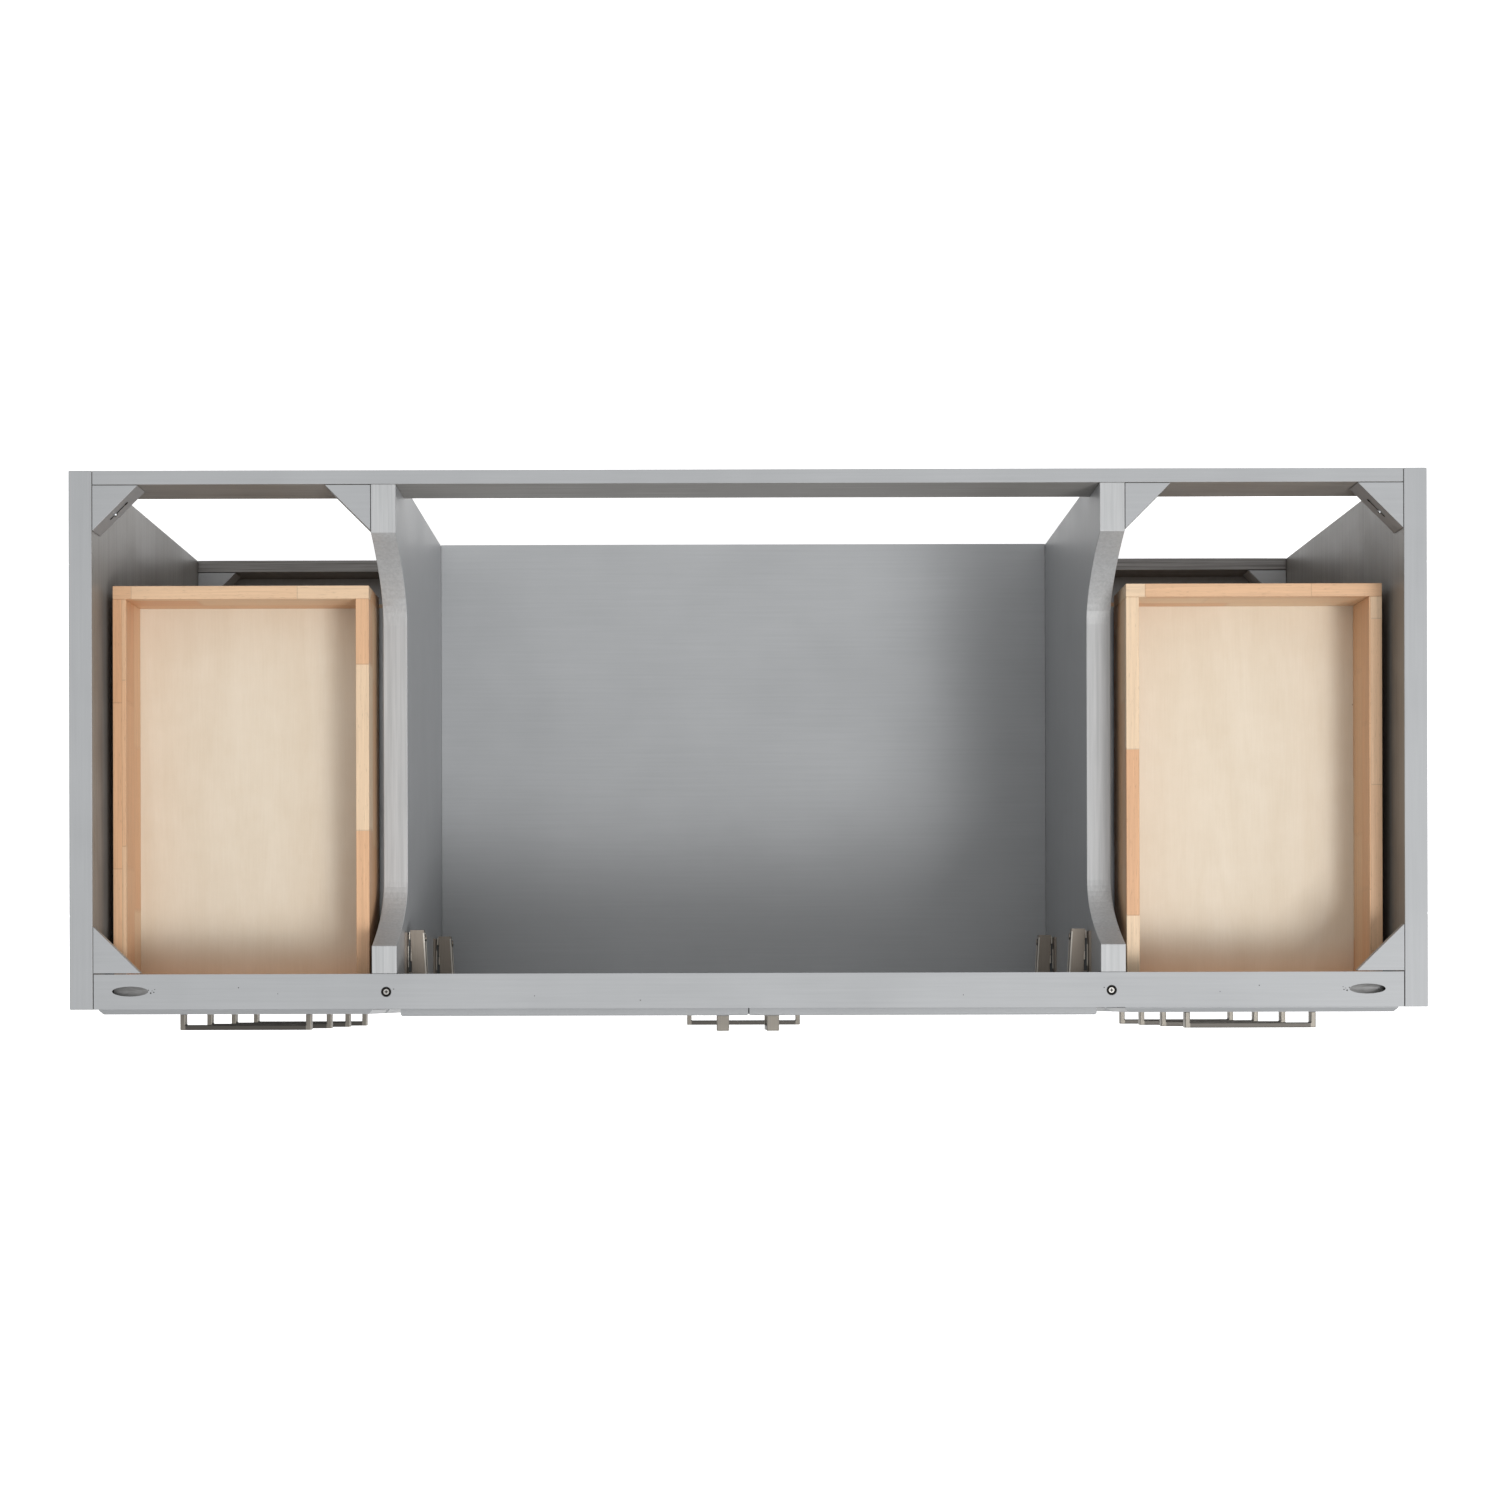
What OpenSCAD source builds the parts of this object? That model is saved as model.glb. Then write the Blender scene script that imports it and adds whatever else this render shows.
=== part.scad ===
// Vanity base cabinet without a top: a column of four drawers on each side, and a two-door
// cupboard over one wide drawer in the middle. Every drawer runs on a pair of full-extension
// undermount slides. X runs across the width, +Y towards the wall and +Z up. The origin is on
// the floor, under the middle of the whole object.

/* [Carcass] */
// Width over the side panels
cabinet_w = 1524; // [1480:4:1600]
// Depth of the carcass, without fronts and pulls
cabinet_d = 605; // [600:5:640]
// Height of the feet
foot_h = 90; // [60:5:150]
// Thickness of the side panels
side_t = 26; // [22:1:30]
// Thickness of the two partitions
partition_t = 28; // [24:1:32]
// Clear width of the middle bay
middle_w = 790; // [760:2:800]
// Width of the flat stiles on the outside of the side panels
side_stile_w = 105; // [80:5:120]
// Depth of the recessed field on the outside of the side panels
side_recess = 6; // [3:1:8]

/* [Rails] */
// Thickness of the top rail and of the rails between drawers
rail_t = 20; // [16:1:24]
// Depth of the rails, front to back
rail_d = 40; // [36:1:60]
// Height of each drawer opening
opening_h = 155; // [150:1:170]
// Height of the bottom front rail
bottom_rail_h = 35; // [30:1:50]
// Height of the top rear rail
rear_rail_h = 94; // [60:1:110]
// Thickness of the rear rails
rear_rail_t = 16; // [14:1:20]
// Height of the bottom rear rails
low_rail_h = 78; // [70:1:90]
// Thickness of the bottom panels
bottom_t = 18; // [15:1:18]
// Thickness of the cupboard floor
floor_t = 14; // [12:1:18]
// Leg length of the triangular corner blocks
block_leg = 52; // [40:1:54]
// Height of the corner blocks
block_h = 43; // [30:1:45]
// Leg length of the front gussets
gusset_leg = 54; // [40:1:56]
// Thickness of the front gussets
gusset_t = 13; // [10:1:15]

/* [Partition scoop] */
// Depth of the scoop in the top edge of each partition
scoop_d = 119; // [80:1:140]
// Full-height length left behind the top rail
scoop_front = 31; // [25:1:40]
// Full-height length left before the top rear rail
scoop_rear = 54.5; // [50:0.5:80]
// Run of the front curve
scoop_front_run = 77; // [60:1:100]
// Run of the rear curve
scoop_rear_run = 89; // [60:1:110]

/* [Fronts] */
// Thickness of drawer fronts and doors
front_t = 20; // [18:1:22]
// Gap round each front
front_gap = 2; // [1.5:0.5:3]
// Chamfer on the front edges of the drawer fronts
chamfer = 4.5; // [2:0.5:6]
// Chamfer on the front edges of the doors
door_chamfer = 1.5; // [0.5:0.5:4]
// How far drawer fronts stand proud of the carcass
drawer_proud = 5.5; // [0:0.5:7]
// How far doors stand proud of the carcass
door_proud = 8; // [7:0.5:9]
// Width of the door frames round their recessed panels
door_stile_w = 56; // [50:1:70]
// Depth of the recessed door panels
door_recess = 6; // [3:1:7]

/* [Pulls] */
// Overall length of a pull
pull_l = 151; // [120:1:180]
// Width of the flat bar
pull_w = 14.5; // [12:0.5:18]
// Thickness of the flat bar
pull_t = 6; // [5:0.5:8]
// How far a pull stands out from its front
pull_out = 18.5; // [17:0.5:20]

/* [Drawers] */
// Length of a drawer box, front to back
box_l = 470; // [465:1:480]
// Gap between a box and each wall of its opening
box_gap = 10; // [8:0.5:10]
// Thickness of the box walls
wall_t = 15; // [14:0.5:16]
// Thickness of the box bottoms
base_t = 5; // [4:0.5:6]
// Height of a box wall
box_h = 120; // [100:1:122]
// Height of a box wall in the top row
top_box_h = 100; // [80:1:110]
// Glue line between two boards of a box
glue = 0.1; // [0.05:0.05:0.2]

/* [Slides] */
// Length of the cabinet and drawer members
slide_l = 457; // [440:1:460]
// Sheet thickness of the members
sheet = 1.5; // [1.2:0.1:1.6]

/* [Hidden] */
$fn = 32;
rows = 4;
SIDES = ["left", "right"];
DRAWERS = [for (s = SIDES, r = [1:rows]) str(s, "_drawer_", r)];
ALL_DRAWERS = concat(DRAWERS, ["middle_drawer"]);
DRAWER_PARTS = ["box", "front", "runners_and_pull", "middle_members"];

paint = "silver";
raw_wood = "burlywood";
steel = "darkgray";
nickel = "dimgray";

// Carcass planes. The front is at -Y, and the doors' pulls are the furthest thing out.
carcass_h = bottom_rail_h + rows * (rail_t + opening_h);
top_z = foot_h + carcass_h;
overhang = door_proud + pull_out;
front_y = overhang - (cabinet_d + overhang) / 2;
rear_y = front_y + cabinet_d;
half_w = cabinet_w / 2;
middle_x = middle_w / 2;
column_in = middle_x + partition_t;
column_out = half_w - side_t;
column_w = column_out - column_in;
rear_rail_y = rear_y - rear_rail_t;

// Shares of the carcass that no setting changes
side_rail_w = 90;
floor_drop = 6;
door_gap = 3;

// Pockets near the ends of the top rail, and the screws that hold it to the partitions
pocket_x = column_out - 45.5;
pocket_y = front_y + 20.5;
pocket_r = 5.6;
pocket_tilt = 74;
pocket_down = 27;
pocket_up = 20;
rail_screw_x = middle_x + 12;
rail_screw_y = front_y + 19.5;
rail_screw_r = 2.5;
rail_screw_l = 42;
rail_head_r = 4.7;
rail_head_h = 4;
sink_r = 6;
sink_d = 5;

// Openings, numbered from the top. Row 4 in the middle holds the wide drawer.
function opening_z(row) = top_z - row * (rail_t + opening_h);
cupboard_z = opening_z(rows) + opening_h + rail_t;
door_h = top_z - rail_t - cupboard_z - 2 * front_gap;
door_z = cupboard_z + front_gap;
door_w = (middle_w - 2 * front_gap - door_gap) / 2;
door_y = front_y - door_proud;
drawer_front_y = front_y - drawer_proud;
box_y = drawer_front_y + front_t;
front_h = opening_h - 2 * front_gap;

// Slide members, measured from the wall of an opening and from its floor
slide_y = box_y + 2;
slide_w = 48.5;
channel_x = 25;
channel_top = 16;
lip = 3;
flange_h = 30;
middle_l = slide_l - 27;
runner_z = 24;
box_z = 12;
screw_heads = [40, 230, 420];
flange_screw_z = 20;

// Hinges, in the frame of a door's outer front corner, which is the axis the door turns about
hinge_depths = [105, 440];
cup_r = 17.5;
cup_x = 22.5;
cup_wall = 1;
cup_depth = 12.5;
cup_flange_t = 1.2;
cup_flange_r = 8;
cup_screw_gap = 48;
arc_in = 24;
arm_out = 31;
ear_out = 29;
link_out = 27;
link_half = 6.8;
arm_y = 23;
arm_l = 76;
arm_in_z = 7.2;
arm_out_z = 8.7;
ear_in_z = 9.2;
ear_out_z = 10.7;

// ---------------------------------------------------------------- shared shapes
// A box given by its low corner and its size
module board(at, size) {
    translate(at) cube(size);
}

// The child and its mirror image on the other side of the cabinet
module both_sides() {
    children();
    mirror([1, 0, 0]) children();
}

// A slab in X and Z whose four front edges are chamfered. Its front face is at y = 0.
module chamfered_slab(w, h, t, cut) {
    intersection() {
        linear_extrude(h) polygon([[cut, 0], [w - cut, 0], [w, cut], [w, t], [0, t], [0, cut]]);
        rotate([90, 0, 90]) linear_extrude(w)
            polygon([[0, cut], [cut, 0], [t, 0], [t, h], [cut, h], [0, h - cut]]);
    }
}

// A flat-bar pull that lies along X, centred on the origin, with its feet on the plane y = 0
module pull_bar() {
    translate([-pull_l / 2, -pull_out, -pull_w / 2]) difference() {
        cube([pull_l, pull_out, pull_w]);
        translate([pull_t, pull_t, -1]) cube([pull_l - 2 * pull_t, pull_out, pull_w + 2]);
    }
}

// A right triangle of the given leg in X and Y, with its corner at the origin
module triangle_block(leg, h) {
    linear_extrude(h) polygon([[0, 0], [leg, 0], [0, leg]]);
}

// A stretch of a ring about the Z axis, from one angle to another (degrees, under 180)
module ring_sector(r_in, r_out, from, to, z_low, z_high) {
    far = r_out * 3;
    mid = (from + to) / 2;
    translate([0, 0, z_low]) linear_extrude(z_high - z_low) intersection() {
        difference() {
            circle(r = r_out);
            circle(r = r_in);
        }
        polygon([[0, 0], far * [cos(from), sin(from)], far * [cos(mid), sin(mid)],
                 far * [cos(to), sin(to)]]);
    }
}

// ---------------------------------------------------------------- carcass
module side_panel() {
    field_h = carcass_h - side_stile_w - side_rail_w;
    color(paint) difference() {
        board([column_out, front_y, foot_h], [side_t, cabinet_d, carcass_h]);
        board([half_w - side_recess, front_y + side_stile_w, foot_h + side_stile_w],
              [side_recess + 1, cabinet_d - 2 * side_stile_w, field_h]);
    }
}

// Depth of the scoop at a share of its run, from 0 at the full-height block to 1 at the flat
function scoop_at(share) = scoop_d * (1 - pow(1 - share, 2));
module partition() {
    steps = 12;
    front_start = front_y + rail_d + scoop_front;
    rear_start = rear_rail_y - scoop_rear;
    front_curve = [for (i = [0:steps])
        [front_start + scoop_front_run * i / steps, top_z - scoop_at(i / steps)]];
    rear_curve = [for (i = [steps:-1:0])
        [rear_start - scoop_rear_run * i / steps, top_z - scoop_at(i / steps)]];
    outline = concat(
        [[front_y, foot_h], [front_y, top_z - rail_t], [front_y + rail_d, top_z - rail_t],
         [front_y + rail_d, top_z]],
        front_curve, rear_curve,
        [[rear_rail_y, top_z], [rear_rail_y, top_z - rear_rail_h], [rear_y, top_z - rear_rail_h],
         [rear_y, foot_h + low_rail_h], [rear_rail_y, foot_h + low_rail_h], [rear_rail_y, foot_h]]
    );
    color(paint) translate([middle_x, 0, 0]) rotate([90, 0, 90])
        linear_extrude(partition_t) polygon(outline);
}

module cupboard_floor() {
    color(paint) board([-middle_x, front_y + rail_d, cupboard_z - floor_drop - floor_t],
                       [middle_w, cabinet_d - rail_d, floor_t]);
}

// The top rail carries a pocket near each end and a countersunk hole over each partition.
module top_front_rail() {
    hole_r = rail_screw_r + 0.05;
    color(paint) difference() {
        board([-column_out, front_y, top_z - rail_t], [2 * column_out, rail_d, rail_t]);
        both_sides() {
            translate([pocket_x, pocket_y, top_z + 1]) rotate([0, -pocket_tilt, 0])
                translate([0, 0, -pocket_down]) cylinder(r = pocket_r, h = pocket_down + pocket_up);
            translate([rail_screw_x, rail_screw_y, top_z - rail_t - 1]) cylinder(r = hole_r, h = rail_t + 2);
            translate([rail_screw_x, rail_screw_y, top_z - sink_d])
                cylinder(r1 = hole_r, r2 = sink_r, h = sink_d + 0.01);
        }
    }
}

module front_rails() {
    color(paint) {
        both_sides() {
            for (row = [1:rows - 1])
                board([column_in, front_y, opening_z(row) - rail_t], [column_w, rail_d, rail_t]);
            board([column_in, front_y, foot_h], [column_w, rail_t, bottom_rail_h]);
        }
        board([-middle_x, front_y, opening_z(rows - 1) - rail_t], [middle_w, rail_d, rail_t]);
        board([-middle_x, front_y, foot_h], [middle_w, rail_t, bottom_rail_h]);
    }
}

module top_rear_rail() {
    color(paint) board([-column_out, rear_rail_y, top_z - rear_rail_h],
                       [2 * column_out, rear_rail_t, rear_rail_h]);
}

module bottom_rear_rails() {
    color(paint) board([-column_out, rear_rail_y, foot_h], [2 * column_out, rear_rail_t, low_rail_h]);
}

module bottom_panels() {
    color(paint) {
        both_sides() board([column_in, front_y + rail_t, foot_h],
                           [column_w, cabinet_d - rail_t - rear_rail_t, bottom_t]);
        board([-middle_x, front_y + rail_t, foot_h],
              [middle_w, cabinet_d - rail_t - rear_rail_t, bottom_t]);
    }
}

// Triangular blocks in the rear corners of both columns, flush with the tops of the rear rails
module corner_blocks() {
    tops = [top_z, foot_h + low_rail_h];
    color(paint) both_sides() for (z = tops) {
        translate([column_in, rear_rail_y, z - block_h]) mirror([0, 1, 0])
            triangle_block(block_leg, block_h);
        translate([column_out, rear_rail_y, z - block_h]) rotate([0, 0, 180])
            triangle_block(block_leg, block_h);
    }
}

module front_gussets() {
    color(paint) both_sides()
        translate([column_out, front_y + rail_d, top_z - gusset_t]) mirror([1, 0, 0])
            triangle_block(gusset_leg, gusset_t);
}

// A square tapered foot under each corner, and a straight pair under the middle
module feet() {
    foot_w = 60;
    toe_w = 44;
    block = 30;
    from_face = 60;
    color(paint) {
        both_sides() for (end = [0, 1])
            translate([half_w, end ? rear_y : front_y, 0]) mirror([1, 0, 0]) mirror([0, end, 0])
                hull() {
                    translate([0, 0, foot_h - block]) cube([foot_w, foot_w, block]);
                    cube([toe_w, toe_w, 1]);
                }
        for (y = [front_y + from_face, rear_y - from_face - toe_w])
            board([-toe_w / 2, y, 0], [toe_w, toe_w, foot_h]);
    }
}

// ---------------------------------------------------------------- slides
// The floor of an opening's own frame: the wall is at x = 0 and the bay lies towards +X.
module in_bay(bay, row) {
    wall_x = bay == "middle" ? -middle_x : column_in;
    turn = bay == "left" ? 1 : 0;
    mirror([turn, 0, 0]) translate([wall_x, 0, opening_z(row)]) children();
}
function bay_w(bay) = bay == "middle" ? middle_w : column_w;

// The child at the near wall of an opening, and its mirror image at the far wall
module slide_pair(bay) {
    children();
    translate([bay_w(bay), 0, 0]) mirror([1, 0, 0]) children();
}

// Sections of the members in X and Z, from the wall and the floor of the opening
module cabinet_section() {
    far = slide_w - sheet;
    translate([0, 1]) square([sheet, flange_h]);
    translate([0, 1]) square([slide_w, sheet]);
    for (x = [channel_x, far]) translate([x, 1]) square([sheet, channel_top - 1]);
    translate([channel_x, channel_top - sheet]) square([lip + sheet, sheet]);
    translate([far - lip, channel_top - sheet]) square([lip + sheet, sheet]);
}
module middle_section() {
    low = 4;
    high = 18.4;
    for (z = [low, high]) translate([channel_x + 3.5, z]) square([16.5, sheet]);
    for (x = [channel_x + 7, channel_x + 15.5]) translate([x, low]) square([sheet, high - low]);
}
module runner_section() {
    low = channel_top + 0.4;
    far = slide_w - sheet;
    high = runner_z - 1;
    translate([channel_x, high - sheet]) square([slide_w - channel_x, sheet]);
    for (x = [channel_x, far]) translate([x, low]) square([sheet, high - low]);
    translate([channel_x, low]) square([lip + sheet - 0.5, sheet]);
    translate([far - lip + 0.5, low]) square([lip + sheet - 0.5, sheet]);
}

// A section pushed along Y from the given start
module along_y(start, length) {
    translate([0, start + length, 0]) rotate([90, 0, 0]) linear_extrude(length) children();
}

module slide_cabinet_member() {
    difference() {
        along_y(slide_y, slide_l) cabinet_section();
        for (y = screw_heads)
            translate([-1, slide_y + y, flange_screw_z]) rotate([0, 90, 0])
                cylinder(r = 2.1, h = sheet + 2);
    }
}
module slide_cabinet_members() {
    color(steel) {
        for (bay = SIDES, row = [1:rows]) in_bay(bay, row) slide_pair(bay) slide_cabinet_member();
        in_bay("middle", rows) slide_pair("middle") slide_cabinet_member();
    }
}

// Pan-head screws through the slide flanges, and a countersunk screw over each partition
module slide_screws() {
    for (y = screw_heads) translate([0, slide_y + y, flange_screw_z]) rotate([0, 90, 0]) {
        translate([0, 0, -9]) cylinder(r = 1.8, h = 9 + sheet + 0.1);
        translate([0, 0, sheet]) cylinder(r1 = 3.8, r2 = 2.6, h = 2);
    }
}
module cabinet_screws() {
    color(nickel) {
        both_sides() translate([rail_screw_x, rail_screw_y, top_z - 0.5]) {
            translate([0, 0, -rail_head_h - rail_screw_l + 0.5]) cylinder(r = rail_screw_r, h = rail_screw_l);
            translate([0, 0, -rail_head_h]) cylinder(r1 = rail_screw_r, r2 = rail_head_r, h = rail_head_h);
        }
        for (bay = SIDES, row = [1:rows]) in_bay(bay, row) slide_pair(bay) slide_screws();
        in_bay("middle", rows) slide_pair("middle") slide_screws();
    }
}

// ---------------------------------------------------------------- drawers
module drawer_box(bay, row) {
    w = bay_w(bay);
    h = row == 1 ? top_box_h : box_h;
    inner_w = w - 2 * box_gap - 2 * wall_t;
    back_y = box_y + box_l - wall_t;
    groove = 6;
    notch_w = slide_w - box_gap - wall_t + 4;
    groove_at = [box_gap + wall_t - groove, box_y + wall_t - groove, runner_z];
    groove_size = [inner_w + 2 * groove, box_l - 2 * wall_t + 2 * groove, base_t];
    color(raw_wood) {
        // Sides, which stand between the front and back boards
        for (x = [box_gap, w - box_gap - wall_t]) difference() {
            board([x, box_y + wall_t + glue, box_z], [wall_t, box_l - 2 * wall_t - 2 * glue, h]);
            board(groove_at, groove_size);
        }
        // Front board, which stops level with the underside of the bottom
        difference() {
            board([box_gap, box_y, runner_z - 1], [w - 2 * box_gap, wall_t, h + box_z - runner_z + 1]);
            board(groove_at, groove_size);
        }
        // Back board, notched over both slides
        difference() {
            board([box_gap, back_y, box_z], [w - 2 * box_gap, wall_t, h]);
            board(groove_at, groove_size);
            for (x = [box_gap + wall_t, w - box_gap - wall_t - notch_w])
                board([x, back_y - 1, box_z - 1], [notch_w, wall_t + 2, runner_z - box_z]);
        }
        board(groove_at + [glue, glue, glue / 2], groove_size - [2 * glue, 2 * glue, glue]);
    }
}

module drawer_front(bay) {
    w = bay_w(bay) - 2 * front_gap;
    color(paint) translate([front_gap, drawer_front_y, front_gap])
        chamfered_slab(w, front_h, front_t, chamfer);
}

// What is screwed to a drawer: its pull, the two runners and the locking clip behind each
module drawer_fittings(bay) {
    w = bay_w(bay);
    clip_at = [slide_w + 0.5, box_y + wall_t + 2, 14];
    clip_size = [30, 46, runner_z - clip_at[2]];
    color(steel) {
        translate([w / 2, drawer_front_y, opening_h / 2]) pull_bar();
        slide_pair(bay) {
            along_y(slide_y, slide_l) runner_section();
            board(clip_at, clip_size);
        }
    }
}

module drawer_middle_members(bay) {
    color(nickel) slide_pair(bay) along_y(slide_y + 9, middle_l) middle_section();
}

// One part of one drawer, in its place
module drawer_part(part, bay, row) {
    in_bay(bay, row) {
        if (part == "box") drawer_box(bay, row);
        if (part == "front") drawer_front(bay);
        if (part == "runners_and_pull") drawer_fittings(bay);
        if (part == "middle_members") drawer_middle_members(bay);
    }
}

// ---------------------------------------------------------------- doors
// The frame of the left door's outer front corner. The right door is its mirror image.
module at_left_hinge_axis() {
    translate([-middle_x + front_gap, door_y, 0]) children();
}
module at_each_hinge() {
    for (d = hinge_depths) translate([0, 0, top_z - d]) children();
}

module door() {
    at_left_hinge_axis() color(paint) difference() {
        translate([0, 0, door_z]) chamfered_slab(door_w, door_h, front_t, door_chamfer);
        translate([door_stile_w, -1, door_z + door_stile_w])
            cube([door_w - 2 * door_stile_w, door_recess + 1, door_h - 2 * door_stile_w]);
        at_each_hinge() translate([cup_x, front_t - cup_depth, 0]) rotate([-90, 0, 0])
            cylinder(r = cup_r, h = cup_depth + 1);
    }
}

module door_pull() {
    from_edge = 27.5;
    from_rail = 86;
    pull_top = top_z - rail_t - from_rail;
    at_left_hinge_axis() color(steel)
        translate([door_w - from_edge, 0, pull_top - pull_l / 2]) rotate([0, 90, 0]) pull_bar();
}

// Cups let into the door, with a screw flange on its back and two ears that guide the link
module hinge_cups() {
    at_left_hinge_axis() at_each_hinge() color(steel) {
        difference() {
            union() {
                translate([cup_x, front_t - cup_depth, 0]) rotate([-90, 0, 0])
                    cylinder(r = cup_r - 0.02, h = cup_depth);
                hull() for (z = [-1, 1])
                    translate([cup_x, front_t, z * cup_screw_gap / 2]) rotate([-90, 0, 0])
                        cylinder(r = cup_flange_r, h = cup_flange_t);
                translate([cup_x, front_t, 0]) rotate([-90, 0, 0])
                    cylinder(r = cup_r + 1, h = cup_flange_t);
            }
            translate([cup_x, front_t - cup_depth + cup_wall, 0]) rotate([-90, 0, 0])
                cylinder(r = cup_r - cup_wall, h = cup_depth + 2);
        }
        for (side = [-1, 1]) scale([1, 1, side])
            ring_sector(arc_in, ear_out, 20, 84, ear_in_z, ear_out_z);
    }
}

// A curved link that turns half as far as the door, between the arm and the cup
module hinge_links() {
    at_left_hinge_axis() at_each_hinge() color(steel)
        ring_sector(arc_in, link_out, 24.5, 80, -link_half, link_half);
}

// Arms and mounting plates, screwed to the inner faces of the partitions. The arm is a channel
// that straddles the plate's rib. It tapers towards the wall, and its two cheeks curve forward
// into the open cup.
function web_x(y) = 25.2 - front_gap - 4.6 * (y - arm_y) / arm_l;
module hinge_mount() {
    wall_x = -front_gap;
    plate = [2.5, 52, 48];
    rib = [7, 44, 2 * arm_in_z - 1];
    rib_x = wall_x + plate[0] + rib[0];
    arm_end = arm_y + arm_l;
    screw_y = arm_end - 9;
    head_x = web_x(screw_y) + 0.3;
    at_left_hinge_axis() at_each_hinge() color(steel) {
        board([wall_x, 44, -plate[2] / 2], plate);
        board([wall_x + plate[0], 50, -rib[2] / 2], rib);
        difference() {
            translate([0, 0, -arm_out_z]) linear_extrude(2 * arm_out_z)
                polygon([[wall_x + 9, arm_y], [web_x(arm_y), arm_y],
                         [web_x(arm_end), arm_end], [wall_x + 5, arm_end]]);
            translate([0, 0, -arm_in_z]) linear_extrude(2 * arm_in_z)
                polygon([[wall_x, arm_y - 1], [web_x(arm_y - 1) - sheet, arm_y - 1],
                         [web_x(arm_end + 1) - sheet, arm_end + 1], [wall_x, arm_end + 1]]);
            translate([0, 0, -arm_out_z - 1]) cylinder(r = link_out + 0.5, h = 2 * arm_out_z + 2);
            translate([rib_x, screw_y, 0]) rotate([0, 90, 0]) cylinder(r = 2.6, h = arm_l);
        }
        for (side = [-1, 1]) scale([1, 1, side])
            ring_sector(arc_in, arm_out, 26, 74, arm_in_z, arm_out_z);
        translate([rib_x, screw_y, 0]) rotate([0, 90, 0]) cylinder(r = 2.5, h = head_x - rib_x);
        translate([head_x, screw_y, 0]) rotate([0, 90, 0]) cylinder(r = 3.6, h = 1.6);
    }
}
module hinge_mounts() {
    both_sides() hinge_mount();
}

// ---------------------------------------------------------------- drawing
mirror([1, 0, 0]) side_panel();  // left_side_panel
side_panel();  // right_side_panel
mirror([1, 0, 0]) partition();  // left_partition
partition();  // right_partition
cupboard_floor();
top_front_rail();
front_rails();
top_rear_rail();
bottom_rear_rails();
bottom_panels();
corner_blocks();
front_gussets();
feet();
cabinet_screws();
slide_cabinet_members();
hinge_mounts();
door();  // left_door
mirror([1, 0, 0]) door();  // right_door
door_pull();  // left_door_pull
mirror([1, 0, 0]) door_pull();  // right_door_pull
hinge_cups();  // left_hinge_cups
mirror([1, 0, 0]) hinge_cups();  // right_hinge_cups
hinge_links();  // left_hinge_links
mirror([1, 0, 0]) hinge_links();  // right_hinge_links
for (bay = SIDES, row = [1:rows], part = DRAWER_PARTS)
    drawer_part(part, bay, row);
for (part = DRAWER_PARTS)
    drawer_part(part, "middle", rows);
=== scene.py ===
import math

import bmesh
import bpy
from mathutils import Matrix, Vector


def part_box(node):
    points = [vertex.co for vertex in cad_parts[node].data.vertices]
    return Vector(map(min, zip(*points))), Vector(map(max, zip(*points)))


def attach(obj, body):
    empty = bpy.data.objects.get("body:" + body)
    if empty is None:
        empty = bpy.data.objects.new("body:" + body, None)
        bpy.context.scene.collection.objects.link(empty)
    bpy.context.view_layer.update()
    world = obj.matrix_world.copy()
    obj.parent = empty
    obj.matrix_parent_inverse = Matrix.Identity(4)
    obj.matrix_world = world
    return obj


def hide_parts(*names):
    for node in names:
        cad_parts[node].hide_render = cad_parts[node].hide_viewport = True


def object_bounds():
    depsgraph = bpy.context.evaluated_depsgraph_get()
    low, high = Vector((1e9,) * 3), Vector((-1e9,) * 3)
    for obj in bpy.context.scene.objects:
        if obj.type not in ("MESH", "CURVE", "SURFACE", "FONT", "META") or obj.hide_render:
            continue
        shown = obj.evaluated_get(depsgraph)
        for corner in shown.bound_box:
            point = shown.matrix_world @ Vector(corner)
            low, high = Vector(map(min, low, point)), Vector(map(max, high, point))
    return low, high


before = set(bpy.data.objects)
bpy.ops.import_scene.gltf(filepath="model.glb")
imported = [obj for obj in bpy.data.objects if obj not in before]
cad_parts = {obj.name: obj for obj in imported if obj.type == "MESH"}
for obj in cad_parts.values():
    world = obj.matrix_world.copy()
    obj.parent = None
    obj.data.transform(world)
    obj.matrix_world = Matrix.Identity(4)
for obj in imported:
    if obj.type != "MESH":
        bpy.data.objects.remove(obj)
cad_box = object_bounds()
low, high = Vector(cad_box[0]), Vector(cad_box[1])
MM = 0.001

# ---- Camera: straight above the middle of the doors, 3.2 m over the top of the cabinet, with the
# frame shifted so that the cabinet lies across the middle of the picture.
view_height = 3.2
span_seen = 1.6825
stand_x, stand_y = -0.038, -0.2787
tilt = -0.14  # degrees, about the line of sight
camera_data = bpy.data.cameras.new("camera")
camera_data.sensor_width = 36.0
camera_data.lens = camera_data.sensor_width * view_height / span_seen
camera_data.shift_x = 0.0233
camera_data.shift_y = 0.166
camera_data.clip_end = 50.0
camera = bpy.data.objects.new("camera", camera_data)
bpy.context.scene.collection.objects.link(camera)
camera.location = (stand_x, stand_y, high.z + view_height)
camera.rotation_euler = (0.0, 0.0, math.radians(tilt))
bpy.context.scene.camera = camera


# ---- Studio: a pale floor that stays clean white, a surround that is bright overhead and dims toward
# the horizon, and one soft square light high over the front right corner.
def linear(hex_colour):
    """An sRGB hex colour as linear RGBA."""
    out = []
    for i in (0, 2, 4):
        c = int(hex_colour[i:i + 2], 16) / 255
        out.append(c / 12.92 if c <= 0.04045 else ((c + 0.055) / 1.055) ** 2.4)
    return (*out, 1.0)


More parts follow.
